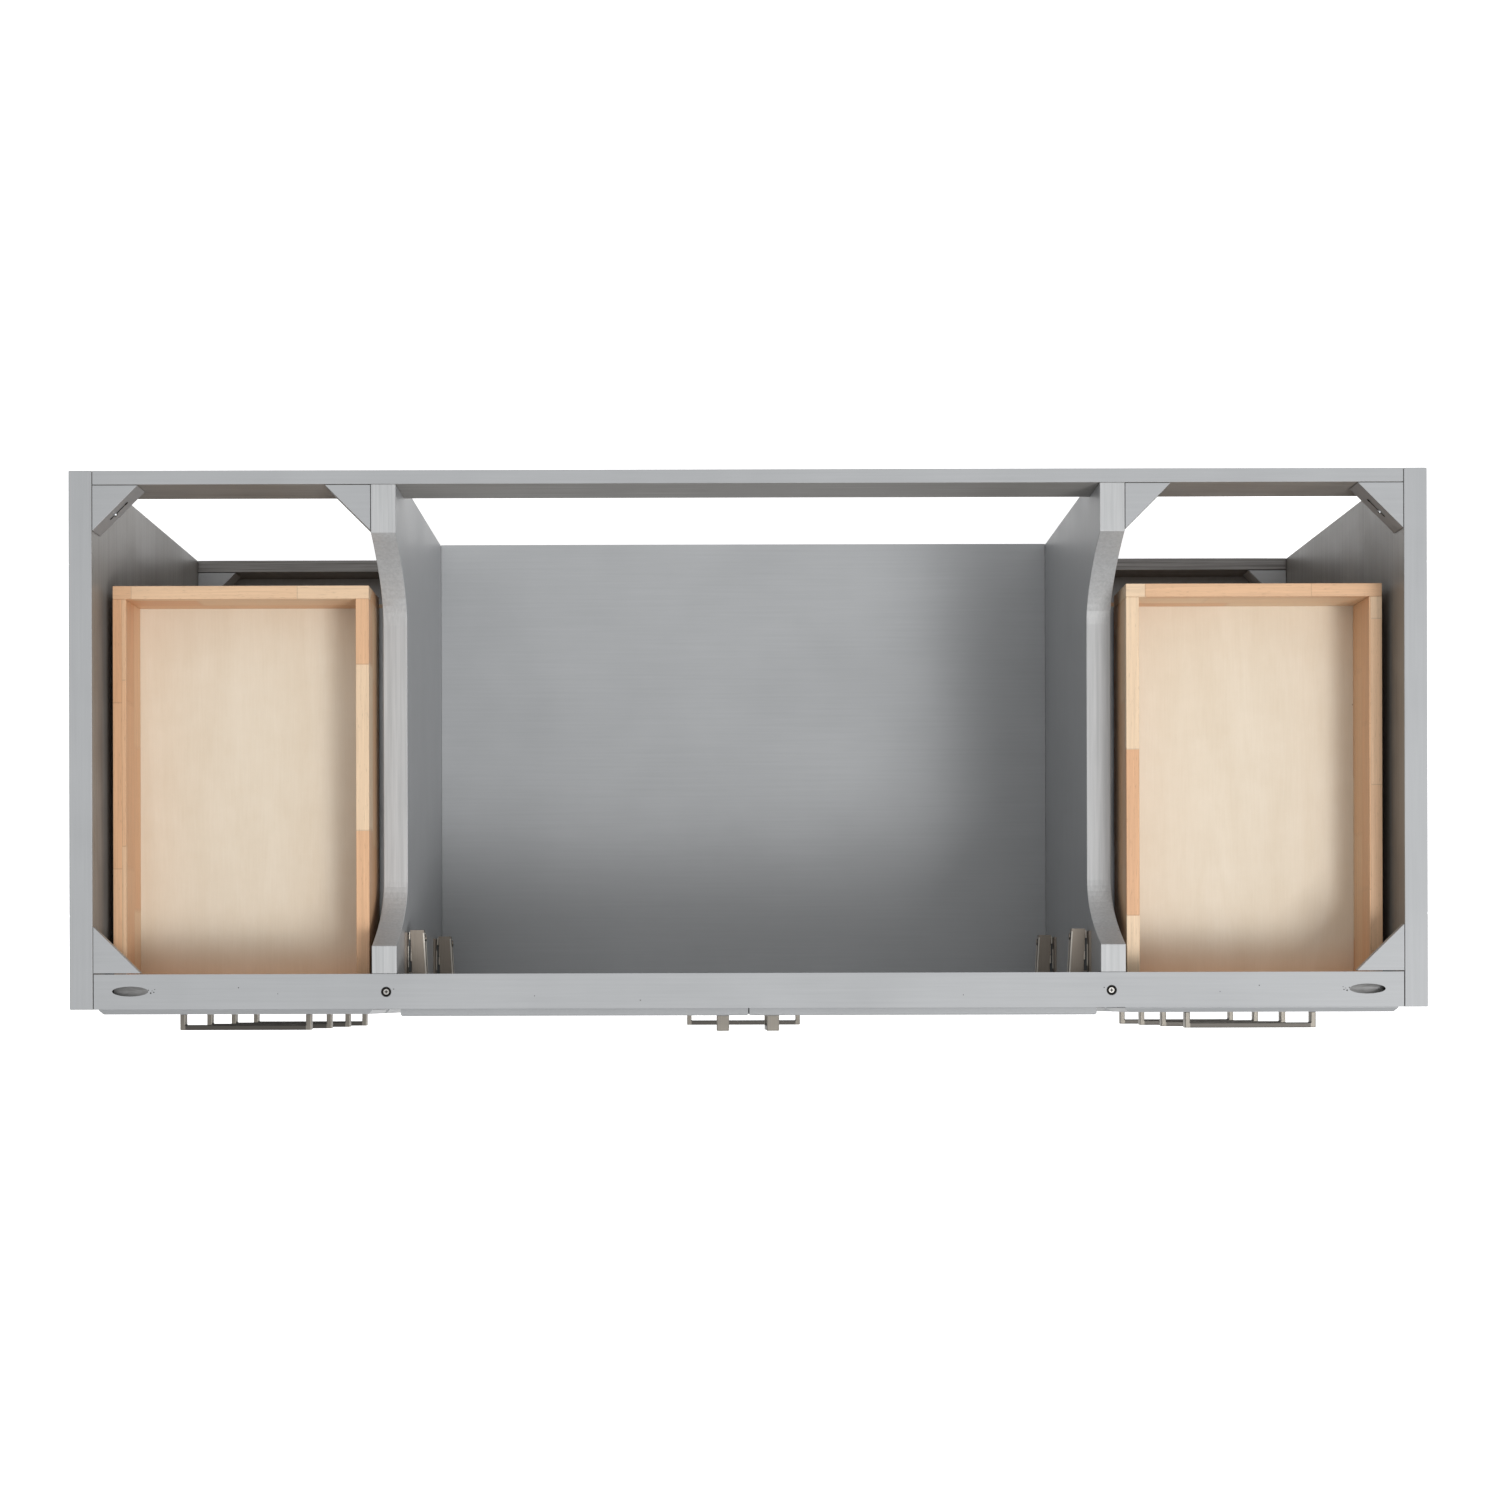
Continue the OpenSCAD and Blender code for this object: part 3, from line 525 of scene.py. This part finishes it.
# ---- Pulls: flat nickel-plated bars, bent square and brushed, one on each front. The brushing runs
# along the bar; the legs are painted lighter as a painted highlight and the grip darker as painted shade.
def brushed_nickel(name, colour, grain_axis, gloss=(0.3, 0.42)):
    """Nickel plate with a fine brushed grain along one axis. It gives the eye a warm grey metal
    with a soft streaky sheen."""
    material, tree, shader, place = finish_of(name)
    line_w, line_l = 0.5 * MM, 40 * MM
    line_size = [line_w] * 3
    line_size[grain_axis] = line_l
    laid = add(tree, "ShaderNodeMapping", {"Vector": place, "Scale": [1 / s for s in line_size]})
    lines = add(tree, "ShaderNodeTexNoise", {"Vector": laid.outputs["Vector"], "Scale": 1.0,
                                             "Detail": 3.0})
    tone = add(tree, "ShaderNodeMapRange", {"Value": lines.outputs["Fac"], "From Min": 0.3,
                                            "From Max": 0.7, "To Min": 0.9, "To Max": 1.05})
    shade = add(tree, "ShaderNodeVectorMath", {0: linear(colour)[:3], "Scale": tone.outputs["Result"]},
                operation="SCALE")
    tree.links.new(shade.outputs["Vector"], shader.inputs["Base Color"])
    rough = add(tree, "ShaderNodeMapRange", {"Value": lines.outputs["Fac"], "From Min": 0.3,
                                             "From Max": 0.7, "To Min": gloss[0], "To Max": gloss[1]})
    tree.links.new(rough.outputs["Result"], shader.inputs["Roughness"])
    shader.inputs["Metallic"].default_value = 1.0
    bump = add(tree, "ShaderNodeBump", {"Height": lines.outputs["Fac"], "Strength": 0.2,
                                        "Distance": 0.05 * MM})
    tree.links.new(bump.outputs["Normal"], shader.inputs["Normal"])
    return material


# Painted highlight and painted shade: one plate in a light tone for the legs and a dark tone for the grip.
nickel_painted_highlight_legs = brushed_nickel("brushed_nickel_painted_highlight_legs", "87827A", 1, (0.4, 0.52))
nickel_painted_shade_grip = [brushed_nickel("brushed_nickel_painted_shade_grip_" + "xyz"[i], "56534F", i, (0.36, 0.48))
               for i in (0, 2)]
bar_t = 6 * MM
pull_size = 20 * MM


def pull_of(node, axis, material_pair, name, body, keep=None):
    """A pull with its legs and its grip in two tones of the same plate, cut where they meet: the
    lighter legs are a painted highlight and the darker grip is painted shade.
    """
    bm = eased(node, 0.9 * MM, keep=keep)
    start, end = corners_of(bm.verts)
    across = Vector([float(i == axis) for i in range(3)])
    for cut in (start[axis] + bar_t, end[axis] - bar_t):
        bmesh.ops.bisect_plane(bm, geom=bm.verts[:] + bm.edges[:] + bm.faces[:], dist=1e-6,
                               plane_co=across * cut, plane_no=across)
    for face in bm.faces:
        middle = face.calc_center_median()[axis]
        face.material_index = int(start[axis] + bar_t < middle < end[axis] - bar_t)
        face.smooth = False
    piece_from(bm, name, material_pair, body, [node])


for drawer in drawers:
    pull_of(drawer + "_runners_and_pull", 0, [nickel_painted_highlight_legs, nickel_painted_shade_grip[0]], drawer + "_pull", drawer,
            keep=lambda size: size.y < pull_size)
for side in ("left", "right"):
    pull_of(side + "_door_pull", 2, [nickel_painted_highlight_legs, nickel_painted_shade_grip[1]], side + "_door_bar_pull",
            side + "_door")


# ---- Slides: full-extension undermount slides of bent zinc-plated steel. One member is screwed to
# the cabinet, one to the drawer, and one rolls between them on balls.
def zinc_plated_steel():
    """Cold-rolled sheet, bright zinc plated. It gives the eye a cool light metal with faint
    spangle and rolling lines."""
    material, tree, shader, place = finish_of("zinc_plated_steel")
    line_w, line_l = 3 * MM, 60 * MM
    laid = add(tree, "ShaderNodeMapping", {"Vector": place, "Scale": (1 / line_w, 1 / line_l, 1 / line_w)})
    lines = add(tree, "ShaderNodeTexNoise", {"Vector": laid.outputs["Vector"], "Scale": 1.0,
                                             "Detail": 4.0})
    tone = add(tree, "ShaderNodeValToRGB", {"Fac": lines.outputs["Fac"]})
    tone.color_ramp.elements[0].position = 0.3
    tone.color_ramp.elements[0].color = linear("A9ABAD")
    tone.color_ramp.elements[1].position = 0.7
    tone.color_ramp.elements[1].color = linear("C6C9CC")
    tree.links.new(tone.outputs["Color"], shader.inputs["Base Color"])
    rough = add(tree, "ShaderNodeMapRange", {"Value": lines.outputs["Fac"], "To Min": 0.28,
                                             "To Max": 0.45})
    tree.links.new(rough.outputs["Result"], shader.inputs["Roughness"])
    shader.inputs["Metallic"].default_value = 1.0
    bump = add(tree, "ShaderNodeBump", {"Height": lines.outputs["Fac"], "Strength": 0.1,
                                        "Distance": 0.05 * MM})
    tree.links.new(bump.outputs["Normal"], shader.inputs["Normal"])
    return material


def moulded_grey_nylon():
    """Moulded nylon with a fine spark texture. It gives the eye a dull dark grey."""
    material, tree, shader, place = finish_of("moulded_grey_nylon")
    grit_size = 0.8 * MM
    grit = add(tree, "ShaderNodeTexNoise", {"Vector": place, "Scale": 1 / grit_size, "Detail": 2.0})
    tone = add(tree, "ShaderNodeValToRGB", {"Fac": grit.outputs["Fac"]})
    tone.color_ramp.elements[0].color = linear("3D4042")
    tone.color_ramp.elements[1].color = linear("55585A")
    tree.links.new(tone.outputs["Color"], shader.inputs["Base Color"])
    shader.inputs["Roughness"].default_value = 0.55
    bump = add(tree, "ShaderNodeBump", {"Height": grit.outputs["Fac"], "Strength": 0.2,
                                        "Distance": 0.05 * MM})
    tree.links.new(bump.outputs["Normal"], shader.inputs["Normal"])
    return material


zinc = zinc_plated_steel()
nylon = moulded_grey_nylon()
runner_size, end_gap = 300 * MM, 0.1 * MM
piece_from(eased("slide_cabinet_members", 0.25 * MM), "slide_cabinet_channels", [zinc], "cabinet",
           ["slide_cabinet_members"])
for drawer in drawers:
    node = drawer + "_runners_and_pull"
    piece_from(eased(node, 0.25 * MM, keep=lambda size: size.y > runner_size), drawer + "_runners",
               [zinc], drawer, [node])
    piece_from(eased(node, 1.2 * MM, keep=lambda size: pull_size < size.y < runner_size),
               drawer + "_locking_clips", [nylon], drawer, [node])
    piece_from(eased(drawer + "_middle_members", 0.25 * MM, gap=[end_gap] * 3),
               drawer + "_middle_rails", [zinc], drawer + "_slides",
               [drawer + "_middle_members"])

# ---- Ball cages: four short nylon strips in each slide, each with a row of steel balls that roll
# between the cabinet member and the web of the middle one.
cage_l, cage_h, cage_t = 84 * MM, 4.4 * MM, 0.8 * MM
cage_inset, cage_rise, lanes = 25 * MM, 3.9 * MM, (29.25 * MM, 44.5 * MM)
ball_r, ball_pitch, balls = 2.2 * MM, 15 * MM, 5
flange_x = 28.5 * MM
for drawer in drawers:
    rail_low, rail_high = (Vector(corner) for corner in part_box(drawer + "_middle_members"))
    bm = bmesh.new()
    for wall, way in ((rail_low.x - flange_x, 1), (rail_high.x + flange_x, -1)):
        for lane in lanes:
            for start in (rail_low.y + cage_inset, rail_high.y - cage_inset - cage_l):
                middle = Vector((wall + way * lane, start + cage_l / 2, rail_low.z + cage_rise))
                strip = bmesh.ops.create_cube(bm, size=1.0)["verts"]
                bmesh.ops.scale(bm, vec=(cage_t, cage_l, cage_h), verts=strip)
                bmesh.ops.translate(bm, vec=middle, verts=strip)
                rims = {e for v in strip for e in v.link_edges}
                bmesh.ops.bevel(bm, geom=sorted(rims, key=lambda e: e.index), offset=0.2 * MM,
                                offset_type="OFFSET", affect="EDGES", segments=1, profile=0.5,
                                material=-1)
                for i in range(balls):
                    at = middle + Vector((0, (i - (balls - 1) / 2) * ball_pitch, 0))
                    ball = bmesh.ops.create_icosphere(bm, subdivisions=2, radius=ball_r,
                                                      matrix=Matrix.Translation(at))["verts"]
                    for face in {f for v in ball for f in v.link_faces}:
                        face.material_index = 1
                        face.smooth = True
    piece_from(bm, drawer + "_ball_cages", [nylon, zinc], drawer + "_slides")


# ---- Screws: pan-head screws hold the slides to the cabinet, machine screws hold the pulls, and a
# countersunk screw holds the top rail to each partition. All have a cross recess.
def cross_head(radius, height, taper):
    """A screw head that stands on the plane z = 0, with a cross recess sunk into its top."""
    bm = bmesh.new()
    bmesh.ops.create_cone(bm, cap_ends=True, segments=20, radius1=radius, radius2=radius * taper,
                          depth=height, matrix=Matrix.Translation((0, 0, height / 2)))
    arm_half, arm_long, sunk = radius * 0.17, radius * 0.55, height * 0.6
    for axis in (Vector((1, 0, 0)), Vector((0, 1, 0))):
        for offset in (-arm_long, -arm_half, arm_half, arm_long):
            top = [f for f in bm.faces if f.normal.z > 0.9]
            geom = list({*top, *[e for f in top for e in f.edges], *[v for f in top for v in f.verts]})
            bmesh.ops.bisect_plane(bm, geom=geom, dist=1e-7, plane_co=axis * offset, plane_no=axis)
    cross = []
    for face in bm.faces:
        x, y = (abs(c) for c in face.calc_center_median()[:2])
        if face.normal.z > 0.9 and (x < arm_half and y < arm_long or y < arm_half and x < arm_long):
            cross.append(face)
    # The faces of the recess take the second material, near-black painted shade.
    sunken = bmesh.ops.extrude_face_region(bm, geom=cross)["geom"]
    for part in sunken:
        if isinstance(part, bmesh.types.BMFace):
            part.material_index = 1
    floor_verts = [v for v in sunken if isinstance(v, bmesh.types.BMVert)]
    bmesh.ops.translate(bm, vec=(0, 0, -sunk), verts=floor_verts)
    bmesh.ops.delete(bm, geom=cross, context="FACES")
    mesh = bpy.data.meshes.new("cross_head")
    bm.to_mesh(mesh)
    bm.free()
    return mesh


def set_heads(name, head, places, facing, body, replaced=(), metal=None):
    """Copies of one head at the given places, all facing one way or each its own way."""
    bm = bmesh.new()
    for at, way in zip(places, facing):
        count = len(bm.verts)
        bm.from_mesh(head)
        bm.verts.ensure_lookup_table()
        turn = Vector(way).to_track_quat("Z", "Y").to_matrix().to_4x4()
        bmesh.ops.transform(bm, matrix=Matrix.Translation(at) @ turn, verts=bm.verts[count:])
    # Each head's recess takes the near-black painted shade.
    piece_from(bm, name, [metal or zinc, hole_painted_shade], body, replaced)


# Painted shade: a near-black mottled colour laid in holes, recesses and slots, where only shade falls.
hole_painted_shade, tree, shader, place = finish_of("near_black_painted_shade")
shade_mottle_size = 1.5 * MM
shade_mottle = add(tree, "ShaderNodeTexNoise", {"Vector": place, "Scale": 1 / shade_mottle_size, "Detail": 2.0})
tone = add(tree, "ShaderNodeValToRGB", {"Fac": shade_mottle.outputs["Fac"]})
tone.color_ramp.elements[0].color = linear("0E0C0A")
tone.color_ramp.elements[1].color = linear("1E1A17")
tree.links.new(tone.outputs["Color"], shader.inputs["Base Color"])
shader.inputs["Roughness"].default_value = 0.9

slide_head = cross_head(3.8 * MM, 2 * MM, 0.7)
screw_steps, flange_t, screw_rise = (40 * MM, 230 * MM, 420 * MM), 1.5 * MM, 20 * MM
rail_setback, rail_lift = 9 * MM, 4 * MM
places, facing = [], []
for drawer in drawers:
    rail_low, rail_high = (Vector(corner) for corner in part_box(drawer + "_middle_members"))
    slide_start, opening_floor = rail_low.y - rail_setback, rail_low.z - rail_lift
    for wall, way in ((rail_low.x - flange_x, 1), (rail_high.x + flange_x, -1)):
        for step in screw_steps:
            places.append((wall + way * flange_t, slide_start + step, opening_floor + screw_rise))
            facing.append((way, 0, 0))
set_heads("slide_screws", slide_head, places, facing, "cabinet", ["cabinet_screws"])

dull_steel = brushed_nickel("dull_steel_screw", "B2B0AC", 1, (0.4, 0.5))
rail_head = cross_head(3.3 * MM, 2.4 * MM, 0.95)
rail_head_sunk = 3.4 * MM
screw_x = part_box("right_partition")[0][0] + 12 * MM
screw_y = pocket_y - 1 * MM
set_heads("rail_screws", rail_head, [(x, screw_y, high.z - rail_head_sunk) for x in (-screw_x, screw_x)],
          [(0, 0, 1)] * 2, "cabinet", ["cabinet_screws"], dull_steel)

# ---- Holes in the rail: near-black painted shade for the depth of the countersinks round the rail
# screws, the deep ends of the pockets, and small chips and nail holes. Chips and nails are given in mm
# as the way in from the pocket, the way across, and the radius.
pocket_tilt, pocket_down, pocket_end_r = math.radians(74), 26.5 * MM, 5.5 * MM
chips = ((17.0, 1.5, 0.6), (19.5, -1.8, 0.9), (21.0, 0.6, 0.5), (23.0, -0.9, 0.7), (24.0, 2.2, 0.5))
nails = ((118, 4.0, 0.6), (162, -3.0, 0.5), (292, 2.0, 0.6), (450, -6.0, 0.5))
skin = high.z - 0.1 * MM
sink_r, sink_tip_r, sink_l, sink_middle = 5.5 * MM, 2.2 * MM, 4.7 * MM, high.z - 2.6 * MM
# Near-black painted shade: cones in the countersinks, discs at the deep ends of the pockets, and small
# discs for chips and nail holes.
bm = bmesh.new()
for way in (-1, 1):
    sink_at = Matrix.Translation((way * screw_x, screw_y, sink_middle))
    cone = bmesh.ops.create_cone(bm, segments=32, radius1=sink_tip_r, radius2=sink_r, depth=sink_l,
                                 matrix=sink_at)["verts"]
    faces = list({f for v in cone for f in v.link_faces})
    bmesh.ops.reverse_faces(bm, faces=sorted(faces, key=lambda f: f.index))
    up_pocket = Vector((-way * math.sin(pocket_tilt), 0, math.cos(pocket_tilt)))
    deep_end = Vector((way * pocket_x, pocket_y, high.z + 1 * MM)) - pocket_down * up_pocket
    turn = up_pocket.to_track_quat("Z", "Y").to_matrix().to_4x4()
    bmesh.ops.create_circle(bm, cap_ends=True, segments=24, radius=pocket_end_r,
                            matrix=Matrix.Translation(deep_end) @ turn)
    for along, across, r in (*chips, *nails):
        at = Matrix.Translation((way * (pocket_x - along * MM), pocket_y + across * MM, skin))
        bmesh.ops.create_circle(bm, cap_ends=True, segments=7, radius=r * MM, matrix=at)
piece_from(bm, "rail_hole_painted_shade", [hole_painted_shade], "cabinet")

# ---- Block screws: each outer rear block at the top is held by a zinc-plated screw, sunk in a long
# slot in its slanted face, drawn as a flat near-black sheet of painted shade.
block_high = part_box("corner_blocks")[1]
block_leg, slot_drop, slot_proud = 52 * MM, 20 * MM, 0.55 * MM
slot_l, slot_w, screw_share = 24 * MM, 2.6 * MM, 0.22
block_head = cross_head(2.9 * MM, 1.6 * MM, 0.8)
places, facing = [], []
bm = bmesh.new()
for way in (-1, 1):
    out_of_face = Vector((-way, -1, 0)).normalized()
    along_face = Vector((way, -1, 0)).normalized()
    centre = Vector((way * (block_high[0] - block_leg / 2), block_high[1] - block_leg / 2,
                     high.z - slot_drop))
    centre += slot_proud * out_of_face
    turn = out_of_face.to_track_quat("Z", "X").to_matrix().to_4x4()
    # The slot is a flat near-black sheet of painted shade with rounded ends, laid just off the face.
    for share in (-0.5, 0.5):
        bmesh.ops.create_circle(bm, cap_ends=True, segments=16, radius=slot_w * (0.9 - 0.3 * share),
                                matrix=Matrix.Translation(centre + share * slot_l * along_face) @ turn)
    slot = bmesh.ops.create_grid(bm, x_segments=1, y_segments=1, size=0.5)["verts"]
    for v in slot:
        v.co = centre + v.co.x * slot_l * along_face + v.co.y * Vector((0, 0, slot_w))
    places.append(centre + screw_share * slot_l * along_face)
    facing.append(out_of_face)
bmesh.ops.recalc_face_normals(bm, faces=bm.faces)
piece_from(bm, "block_screw_slot_painted_shade", [hole_painted_shade], "cabinet")
set_heads("block_screws", block_head, places, facing, "cabinet")

# ---- Pull screws: zinc-plated machine screws through the box fronts and the doors into the legs of
# the pulls, with their heads inside.
pull_head = cross_head(4.2 * MM, 2.2 * MM, 0.75)
front_board_t, half_pitch, leg_half = 15 * MM, 72.5 * MM, 3 * MM
for drawer in drawers:
    box_low, box_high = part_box(drawer + "_box")
    front_low, front_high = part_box(drawer + "_front")
    inner_y = box_low[1] + front_board_t
    middle_x, middle_z = (box_low[0] + box_high[0]) / 2, (front_low[2] + front_high[2]) / 2
    set_heads(drawer + "_pull_screws", pull_head, [(middle_x + dx, inner_y, middle_z)
              for dx in (-half_pitch, half_pitch)], [(0, 1, 0)] * 2, drawer)
for side in ("left", "right"):
    pull_low, pull_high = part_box(side + "_door_pull")
    inner_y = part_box(side + "_door")[1][1]
    x = (pull_low[0] + pull_high[0]) / 2
    set_heads(side + "_door_pull_screws", pull_head, [(x, inner_y, z)
              for z in (pull_low[2] + leg_half, pull_high[2] - leg_half)], [(0, 1, 0)] * 2,
              side + "_door")

# ---- Hinges: concealed cup hinges in nickel-plated steel. The plate is screwed to the partition,
# the arm clips over it, and a curved link joins the arm to the cup in the door.
hinge_nickel = brushed_nickel("satin_nickel_hinge", "938A80", 1)
piece_from(eased("hinge_mounts", 0.3 * MM), "hinge_arms_and_plates", [hinge_nickel], "cabinet",
           ["hinge_mounts"])
for side in ("left", "right"):
    piece_from(eased(side + "_hinge_cups", 0.25 * MM), side + "_hinge_cup_pressings", [hinge_nickel],
               side + "_door", [side + "_hinge_cups"])
    piece_from(eased(side + "_hinge_links", 0.4 * MM), side + "_hinge_link_straps", [hinge_nickel],
               side + "_hinge_links", [side + "_hinge_links"])

# ---- Hinge locks: between each arm and its plate sits a dark nylon slide, its dark also painted shade
# for the gap there, and a lever that releases the arm, in light nickel as a painted highlight. A nylon
# washer lies under the fixing screw, and light nickel strips along the arm's edges are painted highlights.
lever_parts = (  # from the partition (mm), along the arm (mm), half height (mm), metal
    ((2.6, 6.6), (50.5, 95.0), 7.0, False), ((1.4, 3.2), (56.0, 81.0), 8.4, True),
    ((3.4, 4.8), (88.0, 97.0), 8.6, True), ((5.4, 6.6), (74.0, 86.0), 8.6, True),
    ((5.2, 7.9), (63.0, 73.5), 8.5, True))
axis_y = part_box("left_door")[0][1]
wall_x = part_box("left_partition")[1][0]
hinge_low, hinge_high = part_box("hinge_mounts")
hinge_half_h = 24 * MM
hinge_levels = (hinge_high[2] - hinge_half_h, hinge_low[2] + hinge_half_h)
washer_r, washer_t, washer_x, washer_y = 4.6 * MM, 1.0 * MM, 21.4 * MM, 90 * MM
rim_size, rim_x, rim_y, rim_z = (1.8 * MM, 68 * MM, 1.2 * MM), 22.3 * MM, 62 * MM, 8.9 * MM
rim_slant = math.radians(3.46)
bm = bmesh.new()
for way in (1, -1):
    for level in hinge_levels:
        # The first part, the dark nylon slide, is also painted shade in the gap under the arm; the metal
        # parts take the painted-highlight nickel.
        for across, along, half, metal in lever_parts:
            block = bmesh.ops.create_cube(bm, size=1.0)["verts"]
            bmesh.ops.scale(bm, verts=block, vec=((across[1] - across[0]) * MM,
                                                  (along[1] - along[0]) * MM, 2 * half * MM))
            middle = (wall_x + sum(across) / 2 * MM) * way, axis_y + sum(along) / 2 * MM, level
            bmesh.ops.translate(bm, verts=block, vec=middle)
            rims = sorted({e for v in block for e in v.link_edges}, key=lambda e: e.index)
            for face in {f for v in block for f in v.link_faces}:
                face.material_index = int(metal)
            bmesh.ops.bevel(bm, geom=rims, offset=0.5 * MM, offset_type="OFFSET", affect="EDGES",
                            segments=2, profile=0.5, material=-1)
        # Thin strips of the light nickel along the arm's edges, as painted highlights.
        for rim in (-1, 1):
            lip = bmesh.ops.create_cube(bm, size=1.0)["verts"]
            bmesh.ops.scale(bm, verts=lip, vec=rim_size)
            middle = (wall_x + rim_x) * way, axis_y + rim_y, level + rim * rim_z
            bmesh.ops.transform(bm, verts=lip, matrix=Matrix.Translation(middle)
                                @ Matrix.Rotation(way * rim_slant, 4, "Z"))
            rims = sorted({e for v in lip for e in v.link_edges}, key=lambda e: e.index)
            for face in {f for v in lip for f in v.link_faces}:
                face.material_index = 1
            bmesh.ops.bevel(bm, geom=rims, offset=0.3 * MM, offset_type="OFFSET", affect="EDGES",
                            segments=2, profile=0.5, material=-1)
        washer_at = Matrix.Translation(((wall_x + washer_x) * way, axis_y + washer_y, level))
        bmesh.ops.create_cone(bm, cap_ends=True, segments=24, radius1=washer_r, radius2=washer_r,
                              depth=washer_t, matrix=washer_at @ Matrix.Rotation(math.radians(90), 4, "Y"))
bmesh.ops.recalc_face_normals(bm, faces=bm.faces)
# Painted highlight: a light copy of the nickel for the levers and the edge strips.
hinge_painted_highlight_nickel = brushed_nickel("nickel_painted_highlight_on_hinges", "D8D2C8", 1, (0.45, 0.55))
piece_from(bm, "hinge_lock_levers", [nylon, hinge_painted_highlight_nickel], "cabinet")
